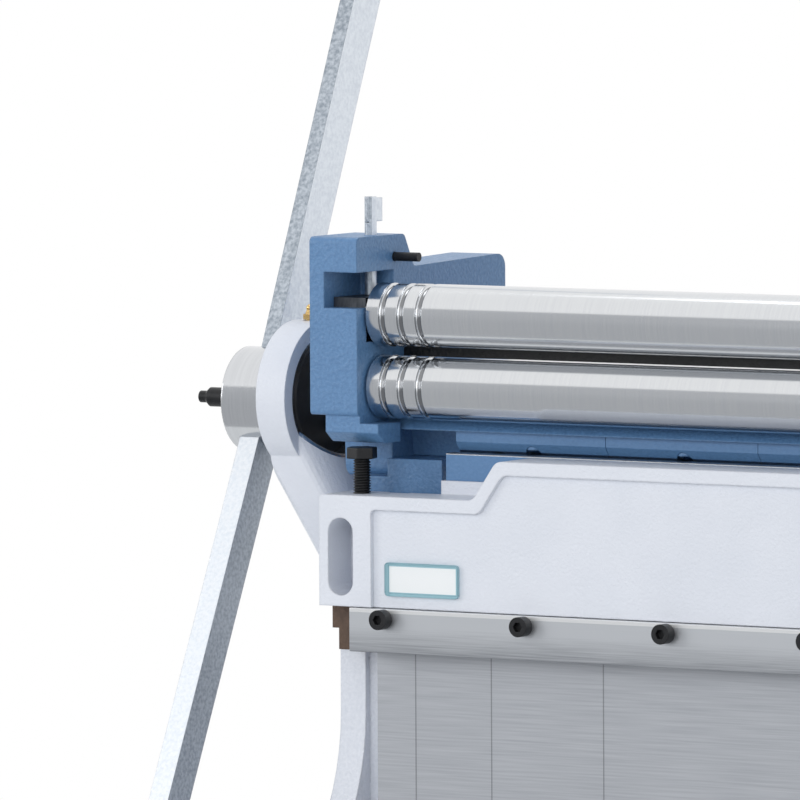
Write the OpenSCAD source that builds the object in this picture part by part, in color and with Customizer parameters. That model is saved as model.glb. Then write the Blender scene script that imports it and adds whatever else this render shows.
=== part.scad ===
// Combination sheet metal machine: shear, press brake and three slip rolls on one frame.
// X runs along the machine, -Y is the front, +Z is up, Z = 0 is the floor under the feet.
// Y = 0 is the plane of the lever shaft. The right half is drawn and the left half mirrors it.

/* [Working width] */
// Length of the shear blades and of the roll faces
blade_len = 1016; // [800:8:1300]
// Height of the lever shaft above the floor
shaft_h = 560; // [520:5:640]

/* [Rolls] */
// Diameter of each roll
roll_d = 42; // [36:1:46]
// Open gap between the two pinch rolls
roll_gap = 5.5; // [5:0.5:7]
// Height of the lower roll's axis above the lever shaft
lower_roll_up = 16; // [14:1:18]
// Distance of the pinch rolls in front of the lever shaft
roll_forward = 60; // [58:1:64]
// Diameter of the roll journals
journal_d = 16; // [14:1:18]
// Depth of each wiring groove, which is half round
groove_deep = 2.5; // [1:0.5:4]
// Distance between wiring grooves
groove_pitch = 14; // [11:0.5:16]
// Distance of the rear roll behind the lever shaft
rear_roll_back = 70; // [68:1:72]
// Height of the rear roll above the lever shaft
rear_roll_up = 18; // [14:1:22]
// Upward travel of the rear roll
rear_lift = 20; // [10:1:24]

/* [Roll stands] */
// Thickness of a roll stand
stand_w = 36.5; // [34:0.5:42]
// Gap between a roll's end and its stand
stand_gap = 2; // [1:0.5:4]
// Distance of the stand's front face in front of the roll axis
stand_nose = 28.5; // [27:0.5:32]
// Depth of the stand's flat top
stand_top_d = 64; // [58:1:68]
// Height of the stand's top above the lever shaft
stand_top_up = 115; // [112:1:120]
// Height of the stand's rear arm above the lever shaft
stand_rear_up = 96; // [92:1:102]
// Distance of the stand's rear end behind the lever shaft
stand_rear_back = 98; // [96:1:112]

/* [Levers] */
// Diameter of the lever shaft
shaft_d = 40; // [36:1:42]
// Diameter of a lever hub
hub_d = 70; // [66:1:80]
// Length of a lever hub
hub_len = 45.5; // [42:0.5:52]
// Distance of the lever bars from the hub's outer end
bar_inset = 16.5; // [14:0.5:22]
// Length of the upper lever beyond the hub
upper_bar_len = 585; // [400:5:700]
// Thickness of the upper lever
upper_bar_t = 11; // [8:1:14]
// Width of the upper lever
upper_bar_w = 31; // [26:1:34]
// Lean of the upper lever to the rear, in degrees
upper_lean = 23.8; // [15:0.1:25]
// Length of the lower lever beyond the hub
lower_bar_len = 440; // [300:5:460]
// Thickness of the lower lever
lower_bar_t = 15; // [10:1:18]
// Width of the lower lever
lower_bar_w = 25; // [20:1:30]
// Lean of the lower lever to the front, in degrees
lower_lean = 26.1; // [20:0.1:27]

/* [Eccentric straps] */
// Throw of the eccentrics
throw_r = 16; // [12:0.5:17]
// Angle of the eccentrics above level, in degrees
throw_angle = 17.5; // [10:0.5:20]
// Outer radius of the strap's ring
ring_r = 50; // [48:0.5:54]
// Radius of the strap's bore
ring_bore_r = 38; // [37:0.5:40]
// Thickness of the strap
strap_t = 22.5; // [18:0.5:25]
// Space between a stand and its strap
strap_space = 35; // [33:0.5:45]
// Depth of the strap's lower eye below the ring
eye_drop = 105; // [100:1:110]
// Distance of the eye from the ring towards the ram
eye_inset = 34; // [30:0.5:36]
// Radius of the ram pin
ram_pin_r = 12; // [10:0.5:13]
// Play of the ram pin in the eye
eye_play = 1.3; // [1.2:0.1:1.6]

/* [Ram] */
// Distance of the ram's front face in front of the lever shaft
ram_front = 100; // [98:1:106]
// Thickness of the ram
ram_t = 37; // [34:1:40]
// Length of the ram beyond each end of the blade
ram_over = 25; // [22:1:30]
// Depth of the ram's low ends below the lever shaft
ram_end_down = 53; // [51:1:56]
// Depth of the ram's raised middle below the lever shaft
ram_mid_down = 27; // [25:0.5:30]
// Depth of the ram's bottom below the lever shaft
ram_bottom_down = 126; // [124:1:132]
// Depth of the sunk panel in the ram's face
panel_deep = 3; // [1:0.5:6]
// Width of the raised rim round the panel
rim_w = 9; // [6:0.5:14]
// Width of the guide slot in each end of the ram
slot_w = 19; // [14:0.5:21]
// Height of the guide slot
slot_h = 51; // [40:1:56]

/* [Shear] */
// Height of the upper blade
blade_h = 29; // [26:0.5:34]
// Thickness of the upper blade
blade_t = 19; // [14:0.5:21]
// Distance that the upper blade stands in front of the ram
blade_proud = 3; // [1:0.5:5]
// Number of blade screws
screw_count = 10; // [6:1:14]
// Distance of the end screws from the blade's ends
screw_inset = 26.5; // [22:0.5:36]
// Open throat between the blades
throat = 1.6; // [1.2:0.1:3]
// Height of the bed's ground front face
bed_face_h = 200; // [150:5:240]

/* [Brake] */
// Width of the V die
die_w = 34; // [30:0.5:36]
// Height of the V die
die_h = 18; // [14:0.5:18]
// Width of the V groove
vee_w = 14; // [10:0.5:16]
// Number of punch segments
punch_count = 8; // [4:1:12]

/* [Frame] */
// Thickness of a leg
leg_t = 19.5; // [16:0.5:21]
// Distance of the leg's neck in front of the lever shaft
leg_neck = 60; // [56:1:62]
// Half length of a foot
foot_half = 265; // [230:5:300]
// Radius of the foot bolt holes
foot_hole_r = 7; // [5:0.5:9]
// Half distance between the bolt holes of one foot
foot_hole_half = 225; // [180:5:228]

/* [Hidden] */
$fn = 64;

// Clearances
run = 0.05;      // radial running fit of a shaft in its bore
slide_gap = 0.1; // each side of a sliding block
seat_gap = 0.3;  // free space between faces that only come near each other
eps = 1;         // cutters run this far past a face

// Colours
white_paint = "#dfe3ea";
blue_paint = "#4a7bab";
ground_steel = "#b9bbbd";
bright_steel = "#c8cacd";
black_oxide = "#202124";
zinc = "#b8bdc4";
bronze = "#a9814b";

// Along X, right half
half_blade = blade_len / 2;
stand_in = half_blade + stand_gap;
stand_out = stand_in + stand_w;
strap_in = stand_out + strap_space;
strap_out = strap_in + strap_t;
hub_gap = 1.5;
hub_in = strap_out + hub_gap;
hub_out = hub_in + hub_len;
bar_x = hub_out - bar_inset;
ram_end = half_blade + ram_over;
eye_in = strap_in - eye_inset;
eye_out = eye_in + strap_t;
arm_t = 14;                       // thickness of a ram arm
arm_in = ram_end - arm_t;
column_gap = 2;                   // between a ram arm and the column inside it
column_out = arm_in - column_gap;
column_in = column_out - 48;
leg_out = ram_end + 9;
leg_in = leg_out - leg_t;
bed_end = half_blade - 9.5;       // the ground face stops short of the ram's ears

// Along Y
roll_y = -roll_forward;
stand_front = roll_y - stand_nose;
stand_top_back = stand_front + stand_top_d;
ring_y = -throw_r * cos(throw_angle);
ram_y = -ram_front;
ram_back = ram_y + ram_t;
blade_front = ram_y - blade_proud;
shear_y = blade_front + blade_t;
blade_pass = 0.1;                 // gap between the passing blades
bed_front = shear_y + blade_pass;
way_gap = 8;                      // between the ram's back and the columns
column_front = ram_back + way_gap;
column_back = 38;
die_back = ram_back + 2 + die_w;
die_y = ram_back + 2 + die_w / 2;
punch_front = die_y - 8;
punch_back = die_y + 8;
stop_y = ram_y + 20;
clamp_y = roll_y + 9;
lock_pin_y = stand_top_back - 17;

// Heights above the floor
roll_r = roll_d / 2;
journal_r = journal_d / 2;
lower_z = shaft_h + lower_roll_up;
upper_z = lower_z + roll_d + roll_gap;
rear_z = shaft_h + rear_roll_up;
stand_top = shaft_h + stand_top_up;
stand_rear_top = shaft_h + stand_rear_up;
stand_lip = shaft_h - 2;          // bottom of the stand's front face
lug_bottom = shaft_h - 20;
stand_shelf = shaft_h - 45;       // underside of the stand's cross block
column_top = shaft_h - 110;
ring_z = shaft_h + throw_r * sin(throw_angle);
eye_z = ring_z - eye_drop;
ram_top = shaft_h - ram_end_down;
ram_mid_top = shaft_h - ram_mid_down;
ram_bottom = shaft_h - ram_bottom_down;
blade_bottom = ram_bottom - blade_h;
bed_top = blade_bottom - throat;
bed_face_bottom = bed_top - bed_face_h;
leg_top = bed_top - 2;
up_stroke = 2.4;                  // ram travel up to the stops
closed_gap = 0.6;                 // left in the V at the top of the stroke
die_top = ram_mid_top + 1;
shelf_top = die_top - die_h;
shelf_h = 30;                     // thickness of the ram's die shelf
vee_deep = vee_w / 2;
punch_tip = die_top - vee_deep + up_stroke + closed_gap;
punch_seat = shaft_h - 12;
stop_gap = up_stroke + seat_gap;

// Roll blocks
block_w = 34;
block_h = 23;
block_x = 23;
block_skin = 11.5;                // stand metal left outside a block
block_out = stand_out - block_skin;
roll_close = roll_gap - 0.5;      // travel that closes the pinch rolls
block_room = 17;                  // above a block, for the clamp screw
pocket_low = 6.5;                 // depth of the front pocket below a block's top
slot_top = upper_z + block_h / 2 + block_room;
pocket_h = block_room + pocket_low;
rear_block_w = 28;
rear_block_h = 24;
bush_wall = 4;

// Gears at the right end of the pinch rolls
gear_teeth = 14;
gear_pitch_r = (roll_d + 1) / 2;
gear_tip = gear_pitch_r + 3.5;
gear_root = gear_pitch_r - 4.5;
gear_t = 18;
gear_x = stand_out + 3;

// Fasteners
m8_head_d = 13;
m8_head_h = 8;
m8_hole_r = 4;
m12_flats = 18;
m12_head_h = 7.5;
m12_r = 6;
screw_pitch = (blade_len - 2 * screw_inset) / (screw_count - 1);
blade_screw_z = ram_bottom - 7;
screw_xs = [for (i = [0 : screw_count - 1]) -half_blade + screw_inset + i * screw_pitch];

// A polygon from corners [a, b, radius]; each radius becomes an arc of short sides
function unit(v) = v / norm(v);
function corner(p, q, s, r) =
  let (
    a = unit(p - q),
    b = unit(s - q),
    half = acos(a * b) / 2,
    centre = q + unit(a + b) * r / sin(half),
    from = q + a * r / tan(half) - centre,
    to = q + b * r / tan(half) - centre,
    start = atan2(from[1], from[0]),
    raw = atan2(to[1], to[0]) - start,
    sweep = raw > 180 ? raw - 360 : raw < -180 ? raw + 360 : raw,
    steps = 6
  )
  [for (i = [0 : steps]) centre + r * [cos(start + sweep * i / steps), sin(start + sweep * i / steps)]];
function flat2(p) = [p[0], p[1]];
function rounded(pts) =
  let (n = len(pts))
  [for (i = [0 : n - 1])
    each pts[i][2] == 0
      ? [flat2(pts[i])]
      : corner(flat2(pts[(i + n - 1) % n]), flat2(pts[i]), flat2(pts[(i + 1) % n]), pts[i][2])];

// Building blocks
module box(from, to) {
  translate(from) cube(to - from);
}
module along_x(x0, x1, y, z, r) {
  translate([x0, y, z]) rotate([0, 90, 0]) cylinder(r = r, h = x1 - x0);
}
module along_y(y0, y1, x, z, r) {
  translate([x, y0, z]) rotate([-90, 0, 0]) cylinder(r = r, h = y1 - y0);
}
module along_z(z0, z1, x, y, r) {
  translate([x, y, z0]) cylinder(r = r, h = z1 - z0);
}
// A profile in (Y, Z) drawn out along X
module side_profile(x0, x1, pts) {
  translate([x0, 0, 0]) rotate([90, 0, 90]) linear_extrude(x1 - x0) polygon(rounded(pts));
}
// A profile in (X, Z) drawn out along Y
module front_profile(y0, y1, pts) {
  translate([0, y1, 0]) rotate([90, 0, 0]) linear_extrude(y1 - y0) polygon(rounded(pts));
}
module hexagon_x(x0, x1, y, z, flats) {
  translate([x0, y, z]) rotate([0, 90, 0]) cylinder(d = flats / cos(30), h = x1 - x0, $fn = 6);
}
module both() {
  children();
  mirror([1, 0, 0]) children();
}
// A socket head cap screw whose head stands in front of the face at y
module cap_screw(x, y, z, shank) {
  difference() {
    union() {
      along_y(y - m8_head_h, y, x, z, m8_head_d / 2);
      along_y(y - eps / 2, y + shank, x, z, m8_hole_r - run);
    }
    translate([x, y - m8_head_h - eps, z]) rotate([-90, 0, 0])
      cylinder(d = 6 / cos(30), h = 4 + eps, $fn = 6);
  }
}

// Fixed frame
leg_bend_r = 131;
leg_bend = 35;
leg_bend_z = leg_top - 40;
toe_h = 30;
module leg_outline() {
  knee_z = leg_bend_z - leg_bend_r * sin(leg_bend);
  knee_y = leg_bend_r * (1 - cos(leg_bend));
  toe_z = toe_h + 12;
  arch = [for (i = [0 : 6]) let (a = leg_bend * i / 6)
    [leg_bend_r * (1 - cos(a)), leg_bend_z - leg_bend_r * sin(a)]];
  toe_y = min(knee_y + (knee_z - toe_z) * tan(leg_bend), foot_half - leg_neck - 12);
  front = concat([[-leg_neck, leg_top]], [for (p = arch) [-leg_neck - p[0], p[1]]],
    [[-leg_neck - toe_y, toe_z], [-foot_half, toe_h], [-foot_half, 0]]);
  back = [for (i = [len(front) - 1 : -1 : 0]) [-front[i][0], front[i][1]]];
  polygon(concat(front, back));
}
window_r = 40;
window_y = 55;
window_z = 140;
pad_w = 40;                       // foot pad inside each end of a leg
pad_len = 80;
pad_t = 18;
arch_foot = 90;                   // from the foot's end to the arch under it
arch_head = 120;
arch_h = 34;
module leg() {
  difference() {
    union() {
      translate([leg_in, 0, 0]) rotate([90, 0, 90]) linear_extrude(leg_t) leg_outline();
      box([column_in, column_front, bed_face_bottom], [leg_in + eps, column_back, leg_top]);
      box([column_in, column_front, leg_top - eps], [column_out, column_back, column_top]);
      box([leg_in - pad_w, -foot_half, 0], [leg_in + eps, -foot_half + pad_len, pad_t]);
      box([leg_in - pad_w, foot_half - pad_len, 0], [leg_in + eps, foot_half, pad_t]);
    }
    for (s = [-1, 1]) along_z(-eps, pad_t + eps, leg_in - pad_w / 2, s * foot_hole_half, foot_hole_r);
    for (s = [-1, 1]) along_x(leg_in - eps, leg_out + eps, s * window_y, window_z, window_r);
    side_profile(leg_in - eps, leg_out + eps, [
      [-foot_half + arch_foot, -eps, 0], [-foot_half + arch_head, arch_h, 20],
      [foot_half - arch_head, arch_h, 20], [foot_half - arch_foot, -eps, 0]]);
    for (z = bed_bolt_zs) along_x(column_in - eps, leg_out + eps, 0, z, m12_r + run);
    for (y = stand_bolt_ys) along_z(column_top - 30, column_top + eps, column_mid, y, m12_r + run);
    along_y(column_front - eps, column_front + 20, column_mid, key_z, m8_hole_r);
  }
}
column_mid = (column_in + column_out) / 2;
bed_bolt_inset = 40;              // from the bed's lower edge and the leg's top
bed_bolt_zs = [bed_face_bottom + bed_bolt_inset, leg_top - bed_bolt_inset];
stand_bolt_ys = [-20, 20];
key_z = (leg_top + ram_top) / 2;
module left_leg() { color(white_paint) mirror([1, 0, 0]) leg(); }
module right_leg() { color(white_paint) leg(); }

blade_seat_h = 24;
blade_seat_d = 24;
blade_screw_grip = 10;            // screw length in the bed
lower_screw_end = bed_top - blade_seat_h - blade_screw_grip;
rail_h = 45;                      // rails and ribs behind the bed's face
rib_w = 30;
lower_screw_y = bed_front + blade_seat_d / 2;
lower_screw_seat = bed_top - m8_head_h - 1;
module bed() {
  color(ground_steel) difference() {
    union() {
      box([-bed_end, bed_front, bed_face_bottom], [bed_end, column_front - seat_gap, bed_top]);
      box([-column_in, column_front - eps, bed_top - rail_h], [column_in, column_back, bed_top]);
      box([-column_in, column_front - eps, bed_face_bottom],
        [column_in, column_back, bed_face_bottom + rail_h]);
      for (x = [-1, 0, 1] * (column_in - rib_w / 2))
        box([x - rib_w / 2, column_front - eps, bed_face_bottom], [x + rib_w / 2, column_back, bed_top]);
    }
    box([-bed_end - eps, bed_front - eps, bed_top - blade_seat_h],
      [bed_end + eps, bed_front + blade_seat_d, bed_top + eps]);
    for (x = screw_xs) along_z(lower_screw_end - eps, bed_top, x, lower_screw_y, m8_hole_r);
    for (z = bed_bolt_zs, s = [-1, 1])
      along_x(s * (column_in - 20) - 21, s * (column_in - 20) + 21, 0, z, m12_r + run);
  }
}
module lower_blade() {
  color(bright_steel) difference() {
    box([-bed_end, bed_front, bed_top - blade_seat_h], [bed_end, bed_front + blade_seat_d, bed_top]);
    for (x = screw_xs) {
      along_z(lower_screw_seat, bed_top + eps, x, lower_screw_y, m8_head_d / 2 + seat_gap);
      along_z(bed_top - blade_seat_h - eps, bed_top, x, lower_screw_y, m8_hole_r);
    }
  }
}
module lower_blade_screws() {
  color(black_oxide) for (x = screw_xs) translate([x, lower_screw_y, lower_screw_seat])
    rotate([-90, 0, 0]) cap_screw(0, 0, 0, lower_screw_seat - lower_screw_end);
}
module bed_bolts() {
  color(black_oxide) both() for (z = bed_bolt_zs) {
    along_x(column_in - 38, leg_out + eps / 2, 0, z, m12_r);
    hexagon_x(leg_out, leg_out + m12_head_h, 0, z, m12_flats);
  }
}

// Blue roll stands
slot_end = block_out + 0.5;        // outer end of the block slots
slot_floor = upper_z - block_h / 2 - roll_close - 1;
rear_slot_floor = rear_z - rear_block_h / 2 - 1;
rear_slot_top = rear_z + rear_block_h / 2 + rear_lift + 1;
rear_arm_bottom = rear_slot_floor - 17;
clamp_r = 4;
adjust_r = 5;
lock_pin_r = 3;
lock_pin_deep = 11.5;             // length of a lock pin in its stand
cross_top = shaft_h - 32;         // top of the stand's cross block
stand_bolt_seat = 26;             // stand metal under its bolt heads
stand_spot_r = 14;
arm_pass = 2;                     // between a raised ram arm and the stand's wall
lock_pin_z = stand_rear_top + 4.5;
head_bolt_spots = [[-14, shaft_h + 34], [32, shaft_h + 30], [32, shaft_h - 26]];
module stand_body() {
  side_profile(stand_in, stand_out, [
    [stand_front, stand_lip, 3], [stand_front, stand_top, 4], [stand_top_back - 5, stand_top, 5],
    [stand_top_back + 7, stand_rear_top - 3, 4], [stand_rear_back, stand_rear_top, 9],
    [stand_rear_back, rear_arm_bottom, 4], [column_back, rear_arm_bottom - 12, 8],
    [column_back, stand_shelf, 0],
    [column_front + 10, stand_shelf, 8], [roll_y + 14, lug_bottom + 4, 8], [roll_y + 8, stand_lip, 0]]);
  box([column_in, column_front + 5, stand_shelf], [stand_in + eps, column_back, cross_top]);
  box([column_in, column_front + 5, column_top], [column_out, column_back, stand_shelf + eps]);
  box([column_out - eps, column_front + 5, arm_top + up_stroke + arm_pass],
    [stand_out - 10, column_back, stand_shelf + eps]);
  lug(stand_in, stand_out - 10, roll_y + 12, stand_lip + eps);
  lug(stand_in - 14, stand_in + eps, lug_back, lug_inner_top);
}
lug_front = stand_front + 3;
lug_back = punch_front - 5.5;
lug_inner_top = lower_z - roll_r - 2;
// The stop screws of the ram meet the underside of this lug
module lug(x0, x1, back, top) {
  side_profile(x0, x1, [
    [lug_front, lug_bottom + 7, 0], [lug_front + 9, lug_bottom, 6], [back, lug_bottom, 0],
    [back, top, 0], [lug_front, top, 0]]);
}
module stand(through) {
  difference() {
    stand_body();
    box([stand_in - eps, roll_y - block_w / 2, slot_floor], [slot_end, roll_y + block_w / 2, slot_top]);
    box([stand_in - eps, stand_front - eps, slot_top - pocket_h], [slot_end, roll_y, slot_top]);
    box([stand_in - eps, rear_roll_back - rear_block_w / 2, rear_slot_floor],
      [slot_end, rear_roll_back + rear_block_w / 2, rear_slot_top]);
    along_x(stand_in - eps, stand_out + eps, 0, shaft_h, shaft_d / 2 + bush_wall);
    along_x(stand_in - eps, through ? stand_out + eps : block_out, roll_y, lower_z, journal_r + bush_wall);
    if (through) along_slot(upper_z);
    along_z(slot_top - eps, stand_top + eps, block_mid, clamp_y, clamp_r + run);
    along_z(rear_arm_bottom - 20, rear_slot_floor + eps, block_mid, rear_roll_back, adjust_r + run);
    along_x(stand_in - eps, stand_in + lock_pin_deep + 0.5, lock_pin_y, lock_pin_z, lock_pin_r + run);
    for (p = head_bolt_spots) along_x(stand_in - eps, stand_out + eps, p[0], p[1], m12_r + run);
    for (y = stand_bolt_ys) along_z(column_top - eps, column_top + 40, column_mid, y, m12_r + run);
    for (y = stand_bolt_ys)
      along_z(column_top + stand_bolt_seat, stand_shelf - 6, column_mid, y, stand_spot_r);
  }
}
block_mid = (stand_in + block_out) / 2;
// The upper journal rises and falls, so its way through the outer wall is a tall slot
module along_slot(z) {
  along_x(block_out, stand_out + eps, roll_y, z, journal_r + 1);
  along_x(block_out, stand_out + eps, roll_y, z - roll_close, journal_r + 1);
  box([block_out, roll_y - journal_r - 1, z - roll_close], [stand_out + eps, roll_y + journal_r + 1, z]);
}
module left_roll_stand() { color(blue_paint) mirror([1, 0, 0]) stand(false); }
module right_roll_stand() { color(blue_paint) stand(true); }

tunnel_r = shaft_d / 2 + 4;
notch_gap = 0.2;                  // round the stands' cross blocks
notch_mid = (stand_in + column_in - 2) / 2;
notch_w = stand_in - column_in + 4;
punch_grip = 5.5;                 // screw length in the head beam
module head_beam() {
  color(blue_paint) difference() {
    side_profile(-stand_in, stand_in, [
      [punch_front - 4, punch_seat, 0], [roll_y + roll_r + 7, lower_z - 6, 6],
      [roll_y + roll_r + 9, shaft_h + 45, 4],
      [45, shaft_h + 45, 8], [45, stand_shelf + 5, 4], [die_back + 9, stand_shelf + 5, 4],
      [die_back + 5, punch_seat, 0]]);
    along_x(-stand_in - eps, stand_in + eps, 0, shaft_h, tunnel_r);
    for (s = [-1, 1]) box([s * notch_mid - notch_w / 2, column_front, stand_shelf - eps],
      [s * notch_mid + notch_w / 2, column_back + notch_gap, cross_top + notch_gap]);
    for (p = head_bolt_spots, s = [-1, 1])
      along_x(s * (stand_in - 15) - 16, s * (stand_in - 15) + 16, p[0], p[1], m12_r + run);
    for (x = punch_xs) along_z(punch_seat - eps, punch_seat + punch_grip + eps, x, die_y, m8_hole_r);
  }
}
punch_span = 2 * column_in - 24;
punch_pitch = punch_span / punch_count;
punch_xs = [for (i = [0 : punch_count - 1]) -punch_span / 2 + (i + 0.5) * punch_pitch];
module brake_punches() {
  color(bright_steel) for (x = punch_xs) difference() {
    side_profile(x - punch_pitch / 2 + 0.2, x + punch_pitch / 2 - 0.2, [
      [punch_front, punch_seat, 0], [punch_front, punch_seat - 7, 0], [die_y, punch_tip, 0.5],
      [punch_back, punch_seat - 7, 0], [punch_back, punch_seat, 0]]);
    along_z(punch_tip - eps, punch_seat - 4, x, die_y, m8_head_d / 2 + seat_gap);
    along_z(punch_tip - eps, punch_seat + eps, x, die_y, m8_hole_r);
  }
}
module punch_clamp_screws() {
  color(black_oxide) for (x = punch_xs) {
    along_z(punch_seat - 11, punch_seat - 4, x, die_y, m8_head_d / 2);
    along_z(punch_seat - 5, punch_seat + punch_grip, x, die_y, m8_hole_r - run);
  }
}
head_bolt_grip = 29;              // bolt length in the head beam
module head_bolts() {
  color(black_oxide) both() for (p = head_bolt_spots) {
    along_x(stand_in - head_bolt_grip, stand_out + eps / 2, p[0], p[1], m12_r);
    hexagon_x(stand_out, stand_out + m12_head_h, p[0], p[1], m12_flats);
  }
}
stand_bolt_grip = 28;             // bolt length in the leg's column
module stand_bolts() {
  color(black_oxide) both() for (y = stand_bolt_ys) {
    along_z(column_top - stand_bolt_grip, column_top + stand_bolt_seat + eps / 2, column_mid, y, m12_r);
    translate([column_mid, y, column_top + stand_bolt_seat])
      cylinder(d = m12_flats / cos(30), h = m12_head_h, $fn = 6);
  }
}
module bush(x0, x1, y, z, bore_r) {
  difference() {
    along_x(x0, x1, y, z, bore_r + bush_wall);
    along_x(x0 - eps, x1 + eps, y, z, bore_r + run);
  }
}
module shaft_bushes() {
  color(bronze) both() bush(stand_in + 0.5, stand_out, 0, shaft_h, shaft_d / 2);
}
module lower_roll_bushes() {
  color(bronze) {
    bush(stand_in, stand_out, roll_y, lower_z, journal_r);
    mirror([1, 0, 0]) bush(stand_in, block_out, roll_y, lower_z, journal_r);
  }
}
key_w = 16;
key_deep = 4;
key_h = 70;
module guide_keys() {
  color(bright_steel) both() difference() {
    box([column_mid - key_w / 2, ram_back - key_deep + seat_gap, key_z - key_h / 2],
      [column_mid + key_w / 2, column_front, key_z + key_h / 2]);
    along_y(ram_back - key_deep, column_front + eps, column_mid, key_z, m8_hole_r);
  }
}

// Lever shaft with its hubs, eccentrics and levers
end_bolt_r = 6.5;
end_bolt_out = 38;
socket_floor = shaft_d / 2 + 1;
module lever_shaft() {
  color(ground_steel) difference() {
    along_x(-hub_out, hub_out, 0, shaft_h, shaft_d / 2);
    both() along_x(hub_out - 20, hub_out + eps, 0, shaft_h, end_bolt_r);
  }
}
module eccentric() {
  difference() {
    along_x(strap_in - 2, strap_out, ring_y, ring_z, ring_bore_r - run);
    along_x(strap_in - 2 - eps, strap_out + eps, 0, shaft_h, shaft_d / 2);
  }
}
module left_eccentric() { color(black_oxide) mirror([1, 0, 0]) eccentric(); }
module right_eccentric() { color(black_oxide) eccentric(); }
module lean_up() { translate([bar_x, 0, shaft_h]) rotate([-upper_lean, 0, 0]) children(); }
module lean_down() { translate([bar_x, 0, shaft_h]) rotate([-lower_lean, 0, 0]) children(); }
module hub() {
  difference() {
    along_x(hub_in, hub_out, 0, shaft_h, hub_d / 2);
    along_x(hub_in - eps, hub_out + eps, 0, shaft_h, shaft_d / 2);
    lean_up() translate([-upper_bar_t / 2 - slide_gap, -upper_bar_w / 2 - slide_gap, socket_floor])
      cube([upper_bar_t + 2 * slide_gap, upper_bar_w + 2 * slide_gap, hub_d]);
    lean_down() translate([-lower_bar_t / 2 - slide_gap, -lower_bar_w / 2 - slide_gap, -hub_d - socket_floor])
      cube([lower_bar_t + 2 * slide_gap, lower_bar_w + 2 * slide_gap, hub_d]);
  }
}
module left_hub() { color(bright_steel) mirror([1, 0, 0]) hub(); }
module right_hub() { color(bright_steel) hub(); }
module upper_lever() {
  lean_up() translate([-upper_bar_t / 2, -upper_bar_w / 2, socket_floor])
    cube([upper_bar_t, upper_bar_w, upper_bar_len + hub_d / 2 - socket_floor]);
}
module lower_lever() {
  lean_down() translate([-lower_bar_t / 2, -lower_bar_w / 2, -lower_bar_len - hub_d / 2])
    cube([lower_bar_t, lower_bar_w, lower_bar_len + hub_d / 2 - socket_floor]);
}
module left_upper_lever() { color(zinc) mirror([1, 0, 0]) upper_lever(); }
module right_upper_lever() { color(zinc) upper_lever(); }
module left_lower_lever() { color(zinc) mirror([1, 0, 0]) lower_lever(); }
module right_lower_lever() { color(zinc) lower_lever(); }
module hub_end_bolts() {
  color(black_oxide) both() {
    along_x(hub_out - 20, hub_out + end_bolt_out - 8, 0, shaft_h, end_bolt_r);
    translate([hub_out + end_bolt_out - 8, 0, shaft_h]) rotate([0, 90, 0])
      cylinder(r1 = end_bolt_r, r2 = 4, h = 3);
    along_x(hub_out + end_bolt_out - 5.5, hub_out + end_bolt_out, 0, shaft_h, 4);
  }
}

// Eccentric straps
eye_r = 26;
ring_low = ring_r * 0.62;
module strap() {
  difference() {
    union() {
      along_x(strap_in, strap_out, ring_y, ring_z, ring_r);
      along_x(eye_in, eye_out, ring_y + eye_back, eye_z, eye_r);
      hull() {
        translate([strap_in, ring_y, ring_z - ring_low]) rotate([0, 90, 0])
          cylinder(r = ring_r - ring_low + 14, h = strap_t, $fn = 32);
        translate([eye_in, ring_y + eye_back, eye_z]) rotate([0, 90, 0])
          cylinder(r = eye_r, h = strap_t, $fn = 32);
      }
    }
    along_x(strap_in - 40, strap_out + eps, ring_y, ring_z, ring_bore_r);
    along_x(eye_in - eps, eye_out + 30, ring_y + eye_back, eye_z, ram_pin_r + eye_play);
    along_z(ring_z + ring_bore_r, ring_z + ring_r + eps, strap_mid, ring_y, 3);
  }
}
strap_mid = (strap_in + strap_out) / 2;
eye_back = 10;
module left_strap() { color(white_paint) mirror([1, 0, 0]) strap(); }
module right_strap() { color(white_paint) strap(); }
module grease_nipples() {
  color(bronze) both() translate([strap_mid, ring_y, ring_z + ring_r]) {
    translate([0, 0, -6]) cylinder(r = 3, h = 7);
    translate([0, 0, 0.5]) cylinder(d = 9 / cos(30), h = 3.5, $fn = 6);
    translate([0, 0, 4]) cylinder(r1 = 3.4, r2 = 2.2, h = 3);
    translate([0, 0, 8]) sphere(r = 2.6);
  }
}

// Ram, upper blade and V die
step_from_end = 93;               // from the blade's end to the rise of the ram's top
step_x = half_blade - step_from_end;
step_head = step_x - 18;
ear_step = 5;
arm_back = 30;
arm_top = eye_z + 24;
arm_bottom = eye_z - 24;
module ram_outline(inset, end, bottom) {
  top = ram_top - inset;
  mid = ram_mid_top - inset;
  right = [
    [end, bottom, 0], [end, top, 3], [step_x - inset / 2, top, 8], [step_head - inset / 2, mid, 8]];
  left = [for (i = [3 : -1 : 0]) [-right[i][0], right[i][1], right[i][2]]];
  polygon(rounded(concat(right, left)));
}
slot_x = ram_end - 16.5;
slot_z = ram_top - 15 - slot_h / 2;
slot_floor_t = 9;                 // ram metal behind a guide slot
slot_pts = [for (c = [[-1, -1], [1, -1], [1, 1], [-1, 1]])
  [slot_x + c[0] * slot_w / 2, slot_z + c[1] * slot_h / 2, slot_w / 2 - 0.01]];
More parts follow.
